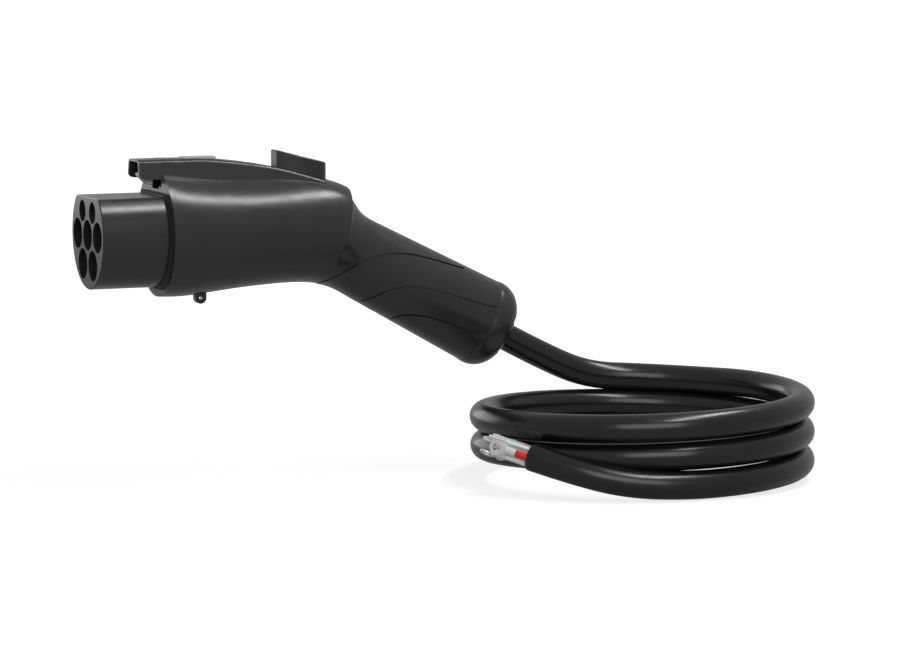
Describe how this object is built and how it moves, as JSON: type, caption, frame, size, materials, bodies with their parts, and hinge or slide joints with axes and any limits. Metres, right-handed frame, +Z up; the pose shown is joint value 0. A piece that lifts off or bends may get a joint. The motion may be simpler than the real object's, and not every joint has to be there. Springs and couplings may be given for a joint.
{
  "type": "ev charging plug",
  "caption": "Electric-vehicle charging plug with a flat-topped round nose, recessed pins, latch hook, push button, drooped pistol grip and a coiled cable with bare crimped cores.",
  "frame": {"origin": "centre of the nose's front face, on the nose axis", "axes": "+X along the nose axis from the mating face back into the handle, +Z up towards the push button"},
  "size_m": [0.3598, 0.2051, 0.1691],
  "materials": {
    "housing_plastic": "satin",
    "nose_plastic": "satin",
    "seal_rubber": "matte",
    "contact_silver": "satin",
    "screw_steel": "satin",
    "board_laminate": "satin",
    "badge_plastic": "satin",
    "cable_jacket": "satin",
    "tinned_lug": "satin",
    "latch_nylon": "satin",
    "button_plastic": "satin",
    "core_green": "satin",
    "core_red": "satin",
    "core_white": "satin",
    "core_grey": "satin"
  },
  "bodies": {
    "housing": {"left_shell": "housing_plastic", "right_shell": "housing_plastic", "connector_nose": "nose_plastic", "contact_block": "nose_plastic", "nose_seal": "seal_rubber", "pin_retainer": "nose_plastic", "pin_earth": "contact_silver", "core_earth": "core_green", "tail_core_earth": "core_green", "pin_line_1": "contact_silver", "core_line_1": "core_red", "tail_core_line_1": "core_red", "pin_neutral": "contact_silver", "core_neutral": "core_white", "tail_core_neutral": "core_white", "pin_line_2": "contact_silver", "core_line_2": "core_white", "tail_core_line_2": "core_white", "pin_line_3": "contact_silver", "core_line_3": "core_grey", "tail_core_line_3": "core_grey", "pin_pilot": "contact_silver", "core_pilot": "core_white", "tail_core_pilot": "core_white", "pin_proximity": "contact_silver", "core_proximity": "core_grey", "tail_core_proximity": "core_grey", "retainer_screws": "screw_steel", "shell_screws": "screw_steel", "clamp_screws": "screw_steel", "pivot_pin": "screw_steel", "return_spring": "screw_steel", "switch_body": "nose_plastic", "resistor_board": "board_laminate", "badge_plate": "badge_plastic", "end_cap": "housing_plastic", "cable_seal": "seal_rubber", "cable_clamp": "nose_plastic", "cable_inner": "cable_jacket", "cable_lead": "cable_jacket", "cable_coil": "cable_jacket", "ring_lugs": "tinned_lug", "pin_ferrules": "tinned_lug"},
    "button": {"push_button": "button_plastic"},
    "latch": {"latch_lever": "latch_nylon"},
    "plunger": {"switch_plunger": "latch_nylon"}
  },
  "joints": [
    {"name": "button_press", "type": "slide", "parent": "housing", "child": "button", "axis": [0, 0, -1], "range_m": [0, 0.0036], "stiffness_N_per_m": 1500, "springref_m": -0.004, "deforming": ["return_spring"]},
    {"name": "latch_swing", "type": "hinge", "parent": "housing", "child": "latch", "pos_m": [0.072, 0, 0.0295], "axis": [0, 1, 0], "range_deg": [0, 6.5]},
    {"name": "switch_press", "type": "slide", "parent": "housing", "child": "plunger", "axis": [0, 0, -1], "range_m": [0, 0.0016]}
  ],
  "couplings": [
    {"joint": "latch_swing", "follows": "button_press", "rad_per_m": 31.25},
    {"joint": "switch_press", "follows": "button_press", "ratio": 0.4375}
  ]
}
